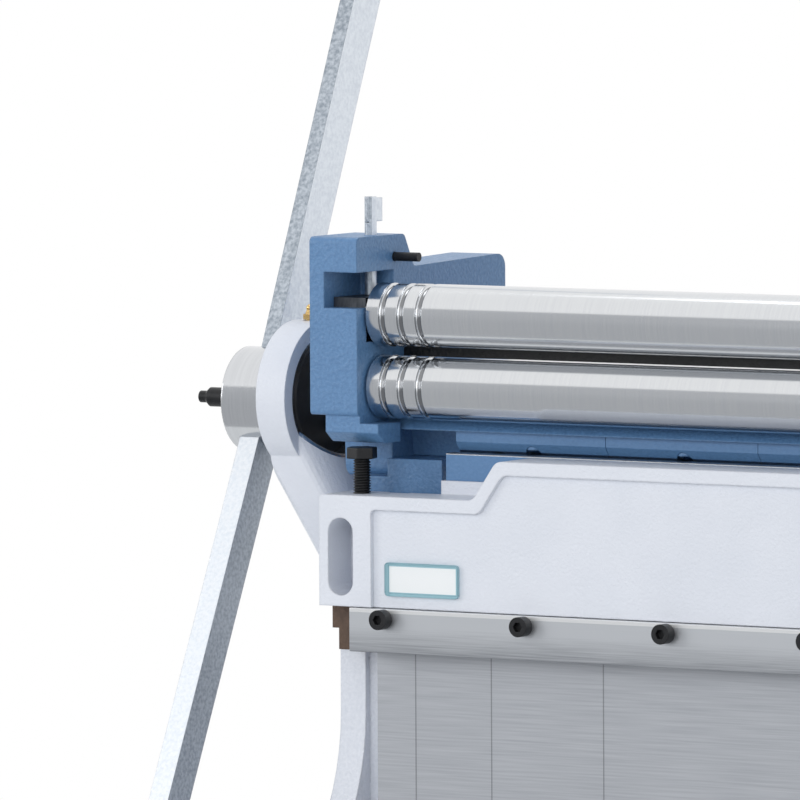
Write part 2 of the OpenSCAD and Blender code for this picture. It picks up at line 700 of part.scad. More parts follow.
module ram() {
  panel_end = ram_end - 40;
  color(white_paint) difference() {
    union() {
      translate([0, ram_back, 0]) rotate([90, 0, 0]) linear_extrude(ram_t)
        ram_outline(0, ram_end, ram_bottom);
      box([-ram_end + ear_step, shear_y, blade_bottom + 14],
        [ram_end - ear_step, ram_back, ram_bottom + eps]);
      both() box([half_blade - 6, shear_y, blade_bottom - 1], [ram_end - ear_step, ram_back, ram_bottom]);
      both() box([half_blade - 6, shear_y, ram_bottom - 16], [ram_end, ram_back, ram_bottom + eps]);
      box([-column_in + 8, ram_back - eps, shelf_top - shelf_h], [column_in - 8, die_back, shelf_top]);
      both() box([arm_in, ram_back - eps, arm_bottom], [ram_end, ring_y + eye_back + arm_back, arm_top]);
    }
    translate([0, ram_y + panel_deep, 0]) rotate([90, 0, 0]) linear_extrude(panel_deep + eps)
      ram_outline(rim_w, panel_end, ram_bottom - eps);
    both() front_profile(ram_y - eps, ram_back - slot_floor_t, slot_pts);
    both() box([column_mid - key_w / 2 - slide_gap, ram_back - key_deep, blade_bottom - 2 * eps],
      [column_mid + key_w / 2 + slide_gap, ram_back + eps, ram_mid_top + eps]);
    both() along_x(arm_in - eps, ram_end + eps, ring_y + eye_back + pin_trim, eye_z, ram_pin_r);
    both() along_z(ram_top - 32, ram_top + eps, stop_x, stop_y, m12_r + run);
    for (x = screw_xs) along_y(shear_y - eps, shear_y + 18, x, blade_screw_z, m8_hole_r);
    for (x = die_screw_xs) along_z(shelf_top - 20, shelf_top + eps, x, die_y, 3);
  }
}
stop_x = ram_end - 21;
half_swing = 26.7;                // turn of the eccentrics each way from level
pin_trim = throw_r * (cos(throw_angle) - (1 + cos(half_swing)) / 2);
die_screw_xs = [for (i = [-3 : 3]) i * (column_in - 40) / 3];
module ram_pins() {
  color(ground_steel) both() along_x(arm_in, eye_out + 4, ring_y + eye_back + pin_trim, eye_z, ram_pin_r);
}
module upper_blade() {
  color(ground_steel) difference() {
    box([-half_blade, blade_front, blade_bottom], [half_blade, shear_y, ram_bottom - 0.5]);
    for (x = screw_xs) along_y(blade_front - eps, shear_y + eps, x, blade_screw_z, m8_hole_r);
  }
}
module upper_blade_screws() {
  color(black_oxide) for (x = screw_xs) cap_screw(x, blade_front, blade_screw_z, blade_t + 14);
}
module vee_die() {
  color(bright_steel) difference() {
    side_profile(-column_in + 10, column_in - 10, [
      [ram_back + 2, shelf_top, 0], [die_back, shelf_top, 0], [die_back, die_top, 1],
      [die_y + vee_w / 2, die_top, 0], [die_y, die_top - vee_deep, 0], [die_y - vee_w / 2, die_top, 0],
      [ram_back + 2, die_top, 1]]);
    for (x = die_screw_xs) {
      along_z(shelf_top - eps, die_top, x, die_y, 3);
      along_z(shelf_top + 5, die_top + eps, x, die_y, 5.2);
    }
  }
}
module vee_die_screws() {
  color(black_oxide) for (x = die_screw_xs) {
    along_z(shelf_top - 14, shelf_top + 5.2, x, die_y, 3 - run);
    along_z(shelf_top + 5, shelf_top + 9, x, die_y, 5);
  }
}
module stop_screw() {
  head_top = lug_bottom - stop_gap;
  along_z(ram_top - 20, head_top - m12_head_h + eps / 2, stop_x, stop_y, m12_r);
  translate([stop_x, stop_y, head_top - m12_head_h]) rotate(15)
    cylinder(d = m12_flats / cos(30), h = m12_head_h, $fn = 6);
}
module left_stop_screw() { color(black_oxide) mirror([1, 0, 0]) stop_screw(); }
module right_stop_screw() { color(black_oxide) stop_screw(); }

// Rolls
module roll(y, z, left_end, right_end) {
  difference() {
    union() {
      along_x(-half_blade, half_blade, y, z, roll_r);
      along_x(-left_end, right_end, y, z, journal_r);
    }
    both() for (i = [0 : 2]) translate([half_blade - groove_first - i * groove_pitch, y, z])
      rotate([0, 90, 0]) rotate_extrude() translate([roll_r, 0]) circle(r = groove_deep);
  }
}
groove_first = 12;
module roll_block(w, h, y, z) {
  difference() {
    box([stand_in + 0.5, y - w / 2 + slide_gap, z - h / 2], [block_out, y + w / 2 - slide_gap, z + h / 2]);
    along_x(stand_in - eps, block_out + eps, y, z, journal_r + run);
  }
}
crank_x = hub_out + end_bolt_out + 10;
crank_t = 12;
crank_r = 160;
upper_journal_end = crank_x + crank_t;
module upper_roll_blocks() {
  color(bronze) both() roll_block(block_w, block_h, roll_y, upper_z);
}
module upper_roll() { color(bright_steel) roll(roll_y, upper_z, block_out, upper_journal_end); }
module lower_roll() { color(bright_steel) roll(roll_y, lower_z, block_out - seat_gap, gear_x + gear_t); }
module gear(z, first) {
  step = 360 / gear_teeth;
  tip = 3;
  foot = 7;
  tooth = [[gear_root, -foot], [gear_tip, -tip], [gear_tip, tip], [gear_root, foot]];
  pts = [for (i = [0 : gear_teeth - 1], p = tooth)
    let (a = first + i * step + p[1]) p[0] * [cos(a), sin(a)]];
  difference() {
    translate([gear_x, roll_y, z]) rotate([90, 0, 90]) linear_extrude(gear_t) polygon(pts);
    along_x(gear_x - eps, gear_x + gear_t + eps, roll_y, z, journal_r);
  }
}
module upper_roll_gear() { color(ground_steel) gear(upper_z, -90); }
module lower_roll_gear() { color(ground_steel) gear(lower_z, 90 + 180 / gear_teeth); }
grip_len = 110;
grip_pin_r = 6;
grip_z = upper_z - crank_r;
module crank_arm() {
  grip_end = crank_x + crank_t + grip_len;
  color(black_oxide) difference() {
    union() {
      along_x(crank_x, crank_x + crank_t, roll_y, upper_z, 20);
      along_x(crank_x, crank_x + crank_t, roll_y, grip_z, 14);
      box([crank_x + 1, roll_y - 11, grip_z], [crank_x + crank_t - 1, roll_y + 11, upper_z]);
      along_x(crank_x, grip_end + 4, roll_y, grip_z, grip_pin_r);
      along_x(grip_end + 1, grip_end + 5, roll_y, grip_z, 9);
    }
    along_x(crank_x - eps, crank_x + crank_t + eps, roll_y, upper_z, journal_r);
  }
}
module crank_grip() {
  x0 = crank_x + crank_t + 0.5;
  color(black_oxide) difference() {
    translate([x0, roll_y, grip_z]) rotate([0, 90, 0]) rotate_extrude()
      polygon(rounded([
        [0, 0, 0], [12, 0, 3], [15, grip_len * 0.45, 40], [12, grip_len, 4], [0, grip_len, 0]]));
    along_x(x0 - eps, x0 + grip_len + eps, roll_y, grip_z, grip_pin_r + run);
  }
}
module rear_roll_blocks() {
  color(bronze) both() roll_block(rear_block_w, rear_block_h, rear_roll_back, rear_z);
}
module rear_roll() { color(bright_steel) roll(rear_roll_back, rear_z, block_out, block_out); }
knob_h = 18;
knob_r = 16;
knob_drop = 42;
module rear_adjuster() {
  knob_top = rear_arm_bottom - knob_drop;
  along_z(knob_top, rear_z - rear_block_h / 2 - seat_gap, block_mid, rear_roll_back, adjust_r);
  along_z(knob_top - knob_h, knob_top, block_mid, rear_roll_back, knob_r);
}
module left_rear_adjuster() { color(black_oxide) mirror([1, 0, 0]) rear_adjuster(); }
module right_rear_adjuster() { color(black_oxide) rear_adjuster(); }
clamp_out = 25;
module clamp_screw() {
  top = stand_top + clamp_out;
  difference() {
    along_z(upper_z + block_h / 2 + seat_gap, top, block_mid, clamp_y, clamp_r);
    box([block_mid - 1, clamp_y - 10, top - 17], [block_mid + 1, clamp_y + 10, top + eps]);
  }
  box([block_mid - 0.95, clamp_y - 4, top - 16.5], [block_mid + 0.95, clamp_y + 13, top - 1]);
}
module left_clamp_screw() { color(zinc) mirror([1, 0, 0]) clamp_screw(); }
module right_clamp_screw() { color(zinc) clamp_screw(); }
lock_pin_out = 19;
module lock_pin() {
  along_x(stand_in - lock_pin_out, stand_in + lock_pin_deep, lock_pin_y, lock_pin_z, lock_pin_r);
}
module left_lock_pin() { color(black_oxide) mirror([1, 0, 0]) lock_pin(); }
module right_lock_pin() { color(black_oxide) lock_pin(); }

left_leg();
right_leg();
bed();
lower_blade();
lower_blade_screws();
bed_bolts();
left_roll_stand();
right_roll_stand();
head_beam();
brake_punches();
punch_clamp_screws();
head_bolts();
stand_bolts();
shaft_bushes();
lower_roll_bushes();
guide_keys();
lever_shaft();
left_eccentric();
right_eccentric();
left_hub();
right_hub();
left_upper_lever();
right_upper_lever();
left_lower_lever();
right_lower_lever();
hub_end_bolts();
left_strap();
right_strap();
grease_nipples();
ram();
ram_pins();
upper_blade();
upper_blade_screws();
vee_die();
vee_die_screws();
left_stop_screw();
right_stop_screw();
upper_roll_blocks();
upper_roll();
upper_roll_gear();
crank_arm();
crank_grip();
lower_roll();
lower_roll_gear();
rear_roll_blocks();
rear_roll();
left_rear_adjuster();
right_rear_adjuster();
left_clamp_screw();
right_clamp_screw();
left_lock_pin();
right_lock_pin();
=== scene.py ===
"""Looks for the combination sheet metal machine: shear, press brake and slip rolls on one frame."""

import math

import bpy
from mathutils import Matrix, Vector


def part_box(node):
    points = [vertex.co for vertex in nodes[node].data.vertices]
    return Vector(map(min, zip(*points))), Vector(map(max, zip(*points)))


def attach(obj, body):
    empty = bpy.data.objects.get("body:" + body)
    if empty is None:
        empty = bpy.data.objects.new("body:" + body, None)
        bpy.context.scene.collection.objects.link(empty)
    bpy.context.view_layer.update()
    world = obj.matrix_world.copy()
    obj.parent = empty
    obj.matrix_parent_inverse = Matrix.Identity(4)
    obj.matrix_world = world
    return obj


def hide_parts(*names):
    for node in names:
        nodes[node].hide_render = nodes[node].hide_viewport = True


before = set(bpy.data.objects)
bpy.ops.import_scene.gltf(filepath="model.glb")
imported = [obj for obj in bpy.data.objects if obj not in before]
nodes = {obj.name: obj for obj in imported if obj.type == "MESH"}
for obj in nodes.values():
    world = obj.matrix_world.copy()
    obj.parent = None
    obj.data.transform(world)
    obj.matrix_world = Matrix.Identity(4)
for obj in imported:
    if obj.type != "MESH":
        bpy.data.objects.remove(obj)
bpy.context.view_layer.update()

MM = 0.001
X, Y, Z = 0, 1, 2

# Each paint is the pale and the deep colour of its fine mottle
WHITE_PAINT = ("#dfe3ec", "#d5dae4")
BLUE_PAINT = ("#6089b5", "#527aa6")
PAINT_IOR = 1.5
skin_mm = 2.2  # width of one dimple in the sprayed enamel
patch_mm = 45  # width of a paler or deeper patch in the white enamel
face_depth = 2 * MM  # a finish on a front face reaches this far in

# Places on the machine, in metres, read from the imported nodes
ram_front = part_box("ram")[0].y
bed_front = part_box("bed")[0].y
pinch_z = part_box("lower_roll")[1].z
blade_low, blade_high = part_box("upper_blade")
eccentric_low, eccentric_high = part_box("left_eccentric")
punch_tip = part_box("brake_punches")[0].z
die_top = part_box("vee_die")[1].z


def linear(code):
    """An sRGB hex colour as linear RGBA."""
    parts = [int(code[i : i + 2], 16) / 255 for i in (1, 3, 5)]
    return [c / 12.92 if c <= 0.04045 else ((c + 0.055) / 1.055) ** 2.4 for c in parts] + [1.0]


def add(tree, kind, sockets=None, **settings):
    """Adds a shader node; a socket's value is a number, a colour or another node's output."""
    node = tree.nodes.new("ShaderNode" + kind)
    for name, value in settings.items():
        setattr(node, name, value)
    for socket, value in (sockets or {}).items():
        if isinstance(value, bpy.types.NodeSocket):
            tree.links.new(value, node.inputs[socket])
        else:
            node.inputs[socket].default_value = value
    return node


def start(name):
    """A new material with its node tree and the piece's own coordinates in metres."""
    material = bpy.data.materials.new(name)
    material.use_nodes = True
    tree = material.node_tree
    tree.nodes.clear()
    return material, tree, add(tree, "TexCoord").outputs["Object"]


def maths(tree, operation, *values):
    """The result of one sum or test; a value is a number or another node's output."""
    return add(tree, "Math", dict(enumerate(values)), operation=operation).outputs[0]


def length(tree, vector):
    """The length of a vector."""
    return add(tree, "VectorMath", {0: vector}, operation="LENGTH").outputs["Value"]


def axis_value(tree, where, axis):
    """One coordinate of the piece, in metres."""
    return add(tree, "SeparateXYZ", {0: where}).outputs[axis]


def speckle(tree, where, size_mm, detail=3.0):
    """Noise whose blotches are about size_mm wide."""
    noise = add(tree, "TexNoise", {"Vector": where, "Scale": 1 / (size_mm * MM), "Detail": detail})
    return noise.outputs[0]


def stretch(tree, where, sizes_mm):
    """Noise drawn out along an axis: one blotch is sizes_mm in X, Y and Z."""
    scaled = add(tree, "Mapping", {"Vector": where, "Scale": [1 / (s * MM) for s in sizes_mm]})
    noise = add(tree, "TexNoise", {"Vector": scaled.outputs[0], "Scale": 1.0, "Detail": 4.0})
    return noise.outputs[0]


def blend(tree, factor, first, second):
    """From the first colour to the second; a colour is a hex code or another node's output."""
    first, second = (linear(c) if isinstance(c, str) else c for c in (first, second))
    return add(tree, "Mix", {0: factor, 6: first, 7: second}, data_type="RGBA").outputs[2]


def span(tree, value, low, high, to_low, to_high):
    """Maps a value between low and high to a value between to_low and to_high."""
    sockets = {0: value, 1: low, 2: high, 3: to_low, 4: to_high}
    return add(tree, "MapRange", sockets).outputs[0]


def spread(tree, noise, to_low, to_high, half=0.2):
    """Maps noise, which keeps within about half of 0.5, to the range from to_low to to_high."""
    return span(tree, noise, 0.5 - half, 0.5 + half, to_low, to_high)


def bands(tree, along, places, half):
    """1 within half of any of the places along an axis, and 0 elsewhere."""
    total = 0.0
    for place in places:
        total = maths(tree, "ADD", maths(tree, "COMPARE", along, place, half), total)
    return total


def close(tree, surface, height, bump_mm, edge_mm):
    """Ends a material: rounded edges, surface bump and the shader."""
    edge = add(tree, "Bevel", {"Radius": edge_mm * MM}, samples=6).outputs[0]
    bump = add(tree, "Bump", {"Height": height, "Distance": bump_mm * MM, "Normal": edge})
    shader = add(tree, "BsdfPrincipled", {**surface, "Normal": bump.outputs[0]})
    add(tree, "OutputMaterial", {"Surface": shader.outputs[0]})


def sprayed(tree, where, paint):
    """The dimples of sprayed enamel, with its colour and its gloss."""
    skin = speckle(tree, where, skin_mm)
    return skin, blend(tree, spread(tree, skin, 0, 1), *paint), spread(tree, skin, 0.32, 0.44)


def enamel(name, paint):
    """Sprayed enamel on a sand casting: even gloss over a finely hammered skin."""
    material, tree, where = start(name)
    skin, colour, gloss = sprayed(tree, where, paint)
    surface = {"Base Color": colour, "Roughness": gloss, "IOR": PAINT_IOR}
    close(tree, surface, skin, bump_mm=0.5, edge_mm=1.6)
    return material


def beam_enamel():
    """Blue enamel with painted shade: black along the front behind the pinch line, standing in for
    the shadow in the gap between the rolls.
    """
    material, tree, where = start("blue_enamel_painted_shade")
    shade_back = -26 * MM  # just behind the beam's upper front face
    shade_from, shade_full = pinch_z - 16 * MM, pinch_z - 10 * MM
    skin, paint, gloss = sprayed(tree, where, BLUE_PAINT)
    front = maths(tree, "LESS_THAN", axis_value(tree, where, Y), shade_back)
    # Painted shade: the front fades to black from 16 to 10 mm below the pinch line and stays black
    # above it, in place of the shadow between the rolls
    painted_shade = span(tree, axis_value(tree, where, Z), shade_from, shade_full, 0, 1)
    colour = blend(tree, maths(tree, "MULTIPLY", painted_shade, front), paint, "#101214")
    surface = {"Base Color": colour, "Roughness": gloss, "IOR": PAINT_IOR}
    close(tree, surface, skin, bump_mm=0.5, edge_mm=1.6)
    return material


def tool_enamel(name, ground_z, side):
    """Blue enamel on the bending tools, ground bare along the edge that works the sheet."""
    material, tree, where = start(name)
    skin = speckle(tree, where, skin_mm)
    bare = maths(tree, side, axis_value(tree, where, Z), ground_z)
    colour = blend(tree, bare, blend(tree, skin, *BLUE_PAINT), "#b4b7bb")
    gloss = span(tree, bare, 0, 1, 0.4, 0.3)
    surface = {"Base Color": colour, "Metallic": bare, "Roughness": gloss, "IOR": PAINT_IOR}
    close(tree, surface, skin, bump_mm=0.3, edge_mm=0.5)
    return material


def ram_enamel():
    """White enamel that stops at the blade seat, where the casting is left raw and brown."""
    material, tree, where = start("white_enamel_on_raw_casting")
    skin = speckle(tree, where, skin_mm)
    paint = blend(tree, speckle(tree, where, patch_mm), *WHITE_PAINT)
    raw = blend(tree, speckle(tree, where, 8), "#3a2c24", "#6b5546")
    seat = maths(tree, "LESS_THAN", axis_value(tree, where, Z), blade_high.z)
    colour = blend(tree, seat, paint, raw)
    gloss = span(tree, seat, 0, 1, 0.38, 0.75)
    surface = {"Base Color": colour, "Roughness": gloss, "IOR": PAINT_IOR}
    close(tree, surface, skin, bump_mm=0.5, edge_mm=1.6)
    return material


def strap_enamel():
    """White enamel with a bright bored ring round the eccentric."""
    material, tree, where = start("white_enamel_with_bored_ring")
    bore = (eccentric_low + eccentric_high) / 2
    bore_r = (eccentric_high.z - eccentric_low.z) / 2
    bright_rim = 2.5 * MM
    skin = speckle(tree, where, skin_mm)
    offset = add(tree, "VectorMath", {0: where, 1: bore}, operation="SUBTRACT").outputs[0]
    flat = add(tree, "VectorMath", {0: offset, 1: (0, 1, 1)}, operation="MULTIPLY").outputs[0]
    rim = maths(tree, "LESS_THAN", length(tree, flat), bore_r + bright_rim)
    paint = blend(tree, speckle(tree, where, patch_mm), *WHITE_PAINT)
    colour = blend(tree, rim, paint, "#c9cbce")
    gloss = span(tree, rim, 0, 1, 0.38, 0.25)
    surface = {"Base Color": colour, "Metallic": rim, "Roughness": gloss, "IOR": PAINT_IOR}
    close(tree, surface, skin, bump_mm=0.4, edge_mm=1.2)
    return material


def machined(name, pale, deep, roughness, grain_mm, edge_mm=0.6, bump_mm=0.02):
    """Cut or ground metal: fine marks drawn out along the way of the tool."""
    material, tree, where = start(name)
    marks = stretch(tree, where, grain_mm)
    colour = blend(tree, spread(tree, marks, 0, 1, half=0.15), pale, deep)
    gloss = spread(tree, marks, roughness * 0.85, roughness * 1.15)
    surface = {"Base Color": colour, "Metallic": 1.0, "Roughness": gloss}
    close(tree, surface, marks, bump_mm, edge_mm)
    return material


def scribed_iron():
    """Ground cast iron: faint grain, and three upright scribed lines at the front's left end."""
    material, tree, where = start("ground_cast_iron")
    scribed_x = (-469 * MM, -411 * MM, -326 * MM)
    line_half = 0.5 * MM
    line_strength = 0.55
    grain = stretch(tree, where, (60, 6, 1.2))
    grey = blend(tree, spread(tree, grain, 0, 1), "#b4b7bc", "#a4a7ad")
    lines = bands(tree, axis_value(tree, where, X), scribed_x, line_half)
    front = maths(tree, "LESS_THAN", axis_value(tree, where, Y), bed_front + face_depth)
    lines = maths(tree, "MULTIPLY", lines, front)
    colour = blend(tree, span(tree, lines, 0, 1, 0, line_strength), grey, "#5d5f62")
    surface = {"Base Color": colour, "Metallic": 0.7, "Roughness": 0.5}
    close(tree, surface, grain, bump_mm=0.04, edge_mm=0.15)
    return material


def roll_steel():
    """Ground roll steel: fine rings from the wheel, and painted shade darkening the wiring grooves
    at each end.
    """
    material, tree, where = start("ground_roll_steel")
    groove_x = (496 * MM, 482 * MM, 468 * MM)
    groove_half = 1.7 * MM
    rings = stretch(tree, where, (0.9, 60, 60))
    steel = blend(tree, spread(tree, rings, 0, 1, half=0.15), "#dee0e2", "#dadcdf")
    along = maths(tree, "ABSOLUTE", axis_value(tree, where, X))
    # Painted shade: the wiring grooves are coloured a darker grey, standing in for the shade inside
    # them
    colour = blend(tree, bands(tree, along, groove_x, groove_half), steel, "#8b8d90")
    gloss = spread(tree, rings, 0.14, 0.16)
    surface = {"Base Color": colour, "Metallic": 1.0, "Roughness": gloss}
    close(tree, surface, rings, bump_mm=0.0004, edge_mm=0.3)
    return material


def ground_blade():
    """Surface-ground tool steel: wavy lines along the lower part, and a painted highlight along the
    upper edge.
    """
    material, tree, where = start("ground_tool_steel")
    wavy_h = 18 * MM
    painted_highlight_h = 2.5 * MM
    waves = stretch(tree, where, (55, 8, 1.0))
    height = axis_value(tree, where, Z)
    low_part = span(tree, height, blade_low.z, blade_low.z + wavy_h, 1, 0.15)
    amount = maths(tree, "MULTIPLY", waves, low_part)
    grey = blend(tree, span(tree, amount, 0.1, 0.6, 0, 1), "#c6c9cd", "#94979c")
    # Painted highlight: the top 2.5 mm is coloured near white, standing in for light caught on the
    # blade's top edge
    edge = maths(tree, "GREATER_THAN", height, blade_high.z - painted_highlight_h)
    colour = blend(tree, edge, grey, "#e2e3e4")
    surface = {"Base Color": colour, "Metallic": 1.0, "Roughness": 0.38}
    close(tree, surface, waves, bump_mm=0.03, edge_mm=0.5)
    return material


def zinc_bar(name, edges, flats):
    """Zinc-plated flat bar: a fine crystal bloom, with painted light and shade giving its edges one
    grey and its flats another.
    """
    material, tree, where = start(name)
    faces_sideways = 0.7  # a face is a flat if its normal has more than this along X
    bloom = spread(tree, speckle(tree, where, 2.5, detail=5.0), 0, 1, half=0.15)
    # Painted light and shade: edges and flats take different greys by which way each face turns,
    # standing in for how the light falls on them
    facing = axis_value(tree, add(tree, "TexCoord").outputs["Normal"], X)
    flat = maths(tree, "GREATER_THAN", maths(tree, "ABSOLUTE", facing), faces_sideways)
    colour = blend(tree, flat, blend(tree, bloom, *edges), blend(tree, bloom, *flats))
    gloss = span(tree, bloom, 0, 1, 0.36, 0.5)
    surface = {"Base Color": colour, "Metallic": 0.85, "Roughness": gloss}
    close(tree, surface, bloom, bump_mm=0.03, edge_mm=1.2)
    return material


def black_oxide():
    """Oiled black oxide on steel: a dark, half-dull film with a faint bloom."""
    material, tree, where = start("black_oxide")
    bloom = speckle(tree, where, 5)
    colour = blend(tree, bloom, "#17181a", "#2b2c2f")
    surface = {"Base Color": colour, "Metallic": 0.5, "Roughness": 0.4}
    close(tree, surface, bloom, bump_mm=0.03, edge_mm=0.6)
    return material


def grip_plastic():
    """Moulded black plastic with a fine spark texture."""
    material, tree, where = start("moulded_black_plastic")
    spark = speckle(tree, where, 1.5)
    colour = blend(tree, spark, "#1d1d1f", "#262628")
    surface = {"Base Color": colour, "Roughness": 0.5, "IOR": 1.49}
    close(tree, surface, spark, bump_mm=0.08, edge_mm=0.8)
    return material


def label_film(name, code):
    """Printed film: one flat ink on faintly fibrous paper."""
    material, tree, where = start(name)
    fibre = speckle(tree, where, 0.8)
    colour = blend(tree, span(tree, fibre, 0, 1, 0, 0.12), code, "#c8ced2")
    surface = {"Base Color": colour, "Roughness": 0.45, "IOR": 1.46}
    close(tree, surface, fibre, bump_mm=0.02, edge_mm=0.2)
    return material


ground = machined("ground_steel", "#c3c5c7", "#a4a6a9", 0.36, (40, 4, 2))
polished = machined("polished_steel", "#d9dbde", "#d4d6d9", 0.13, (0.9, 60, 60), 1.2, 0.0008)
bronze = machined("cast_bronze", "#b98f55", "#94703d", 0.4, (3, 12, 12))
dark_iron = machined("oiled_cast_iron", "#5a5d61", "#43464a", 0.45, (3, 12, 12))
brass = machined("turned_brass", "#dcbf86", "#c2a063", 0.25, (3, 3, 1))
# Painted light and shade: the upper levers get bright flats and dark edges, the lower levers dark
# flats and bright edges
spangled = zinc_bar("zinc_plate_painted_lit_flats", ("#8d96a0", "#b6bdc5"), ("#e2e8ef", "#d9dfe7"))
drawn = zinc_bar("zinc_plate_painted_lit_edges", ("#e0e4e9", "#d3d9e0"), ("#8f97a1", "#b3bac3"))
punch_blue = tool_enamel("blue_enamel_punch", punch_tip + 5 * MM, "LESS_THAN")
die_blue = tool_enamel("blue_enamel_die", die_top - 1 * MM, "GREATER_THAN")
oxide = black_oxide()
finishes = {
    enamel("white_enamel", WHITE_PAINT): ["left_leg", "right_leg"],
    ram_enamel(): ["ram"],
    strap_enamel(): ["left_strap", "right_strap"],
    enamel("blue_enamel", BLUE_PAINT): [
        "left_roll_stand", "right_roll_stand", "punch_clamp_screws",
    ],
    beam_enamel(): ["head_beam"],
    scribed_iron(): ["bed", "lower_blade"],
    ground_blade(): ["upper_blade"],
    ground: ["guide_keys", "lever_shaft", "ram_pins", "upper_roll_gear", "lower_roll_gear"],
    punch_blue: ["brake_punches"],
    die_blue: ["vee_die"],
    polished: ["left_hub", "right_hub"],
    roll_steel(): ["upper_roll", "lower_roll", "rear_roll"],
    spangled: ["left_upper_lever", "right_upper_lever", "left_clamp_screw", "right_clamp_screw"],
    drawn: ["left_lower_lever", "right_lower_lever"],
    bronze: ["shaft_bushes", "lower_roll_bushes"],
    dark_iron: ["upper_roll_blocks", "rear_roll_blocks"],
    brass: ["grease_nipples"],
    grip_plastic(): ["crank_grip"],
    oxide: [
        "left_eccentric", "right_eccentric", "hub_end_bolts", "upper_blade_screws", "crank_arm",
        "lower_blade_screws", "bed_bolts", "head_bolts", "stand_bolts", "vee_die_screws",
        "left_lock_pin", "right_lock_pin", "left_rear_adjuster", "right_rear_adjuster",
    ],
}
for material, names in finishes.items():
    for name in names:
        for place in nodes[name].material_slots:
            place.material = material


def apply_place():
    """Puts the selected piece's place, turn and scale into its mesh."""
    bpy.ops.object.transform_apply(location=True, rotation=True, scale=True)


def blank_label():
    """A bare bordered film label on the ram's sunk panel."""
    panel_deep = 3 * MM
    film_t = 0.4 * MM
    border_w = 0.8 * MM
    corner_r = 2.5 * MM
    low = Vector((-483 * MM, ram_front + panel_deep - film_t, 442 * MM))
    high = Vector((-427 * MM, ram_front + panel_deep, 464 * MM))
    bpy.ops.object.select_all(action="DESELECT")
    bpy.ops.mesh.primitive_cube_add(size=1, location=(low + high) / 2)
    label = bpy.context.object
    label.name = "blank_label"
    label.scale = high - low
    apply_place()
    label.data.materials.append(label_film("white_label_film", "#eef1f3"))
    label.data.materials.append(label_film("teal_label_border", "#93bdc9"))

    # Rounds the four corner edges, which run through the film
    bpy.ops.object.mode_set(mode="EDIT")
    bpy.ops.mesh.select_all(action="DESELECT")
    bpy.ops.object.mode_set(mode="OBJECT")
    for edge in label.data.edges:
        a, b = (label.data.vertices[i].co for i in edge.vertices)
        edge.select = abs(a.y - b.y) > film_t / 2
    bpy.ops.object.mode_set(mode="EDIT")
    bpy.ops.mesh.select_mode(type="EDGE")
    bpy.ops.mesh.bevel(offset=corner_r, segments=5, affect="EDGES")
    bpy.ops.object.mode_set(mode="OBJECT")

    # Sets the white field into the front face, with the border left round it
    bpy.context.tool_settings.mesh_select_mode = (False, False, True)
    for face in label.data.polygons:
        face.material_index = 1
        face.select = face.normal.y < -0.9
    bpy.ops.object.mode_set(mode="EDIT")
    bpy.ops.mesh.inset(thickness=border_w)
    label.active_material_index = 0
    bpy.ops.object.material_slot_assign()
    bpy.ops.object.mode_set(mode="OBJECT")
    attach(label, "ram")


def threaded_stop(side, turn_deg):
    """An M12 hex stop screw: a thread ridge wound on a plain core, under a chamfered head."""
    pitch = 1.75 * MM
    crest_r = 6 * MM
    core_r = 4.9 * MM
    head_h = 7.5 * MM
    flats = 18 * MM
    chamfer = 0.7 * MM
    round_steps = 40
    ridge_w = 0.96 * pitch  # a little less than the pitch, so that turns don't share corners
    ridge_r = ridge_w / math.sqrt(3)
    low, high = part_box(side + "_stop_screw")
    axis = (low + high) / 2
    neck = high.z - head_h
    ridge_from = low.z + pitch

    bpy.ops.object.select_all(action="DESELECT")
    bpy.ops.mesh.primitive_circle_add(
        vertices=3, radius=ridge_r, location=(crest_r - ridge_r, 0, ridge_from),
        rotation=(math.pi / 2, math.pi / 2, 0),
    )
    apply_place()
    ridge = bpy.context.object
    wind = ridge.modifiers.new("thread", "SCREW")
    wind.axis = "Z"
    wind.screw_offset = pitch
    wind.iterations = int((neck - ridge_from) / pitch)
    wind.steps = wind.render_steps = round_steps
    bpy.ops.object.modifier_apply(modifier=wind.name)
    bpy.ops.object.mode_set(mode="EDIT")
    bpy.ops.mesh.select_all(action="SELECT")
    bpy.ops.mesh.fill_holes(sides=3)
    bpy.ops.mesh.select_all(action="SELECT")
    bpy.ops.mesh.normals_make_consistent(inside=False)
    bpy.ops.object.mode_set(mode="OBJECT")
    ridge.location = (axis.x, axis.y, 0)

    bpy.ops.mesh.primitive_cylinder_add(
        vertices=round_steps, radius=core_r, depth=neck - low.z,
        location=(axis.x, axis.y, (low.z + neck) / 2),
    )
    core = bpy.context.object
    bpy.ops.mesh.primitive_cylinder_add(
        vertices=6, radius=flats / math.sqrt(3), depth=head_h,
        location=(axis.x, axis.y, neck + head_h / 2), rotation=(0, 0, math.radians(turn_deg)),
    )
    screw = bpy.context.object
    bpy.ops.object.mode_set(mode="EDIT")
    bpy.ops.mesh.select_all(action="SELECT")
    bpy.ops.mesh.bevel(offset=chamfer, segments=2, affect="EDGES")
    bpy.ops.object.mode_set(mode="OBJECT")
    core.select_set(True)
    ridge.select_set(True)
    bpy.ops.object.join()
    apply_place()
    screw.name = side + "_threaded_stop"
    screw.data.materials.append(oxide)
    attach(screw, side + "_stop")
    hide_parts(side + "_stop_screw")


def studio_floor():
    """A pale matt floor that fades to white."""
    floor_r = 2.4
    fade_from = 1.3
    bpy.ops.object.select_all(action="DESELECT")
    bpy.ops.mesh.primitive_circle_add(vertices=96, radius=floor_r, fill_type="NGON")
    floor = bpy.context.object
    floor.name = "studio_floor"
    material, tree, where = start("pale_floor")
    away = span(tree, length(tree, where), fade_from, floor_r, 0, 1)
    matt = add(tree, "BsdfDiffuse", {"Color": linear("#eceeef")})
    glow = add(tree, "Emission", {"Color": (1, 1, 1, 1), "Strength": 1.0})
    mixed = add(tree, "MixShader", {0: away, 1: matt.outputs[0], 2: glow.outputs[0]})
    add(tree, "OutputMaterial", {"Surface": mixed.outputs[0]})
    floor.data.materials.append(material)


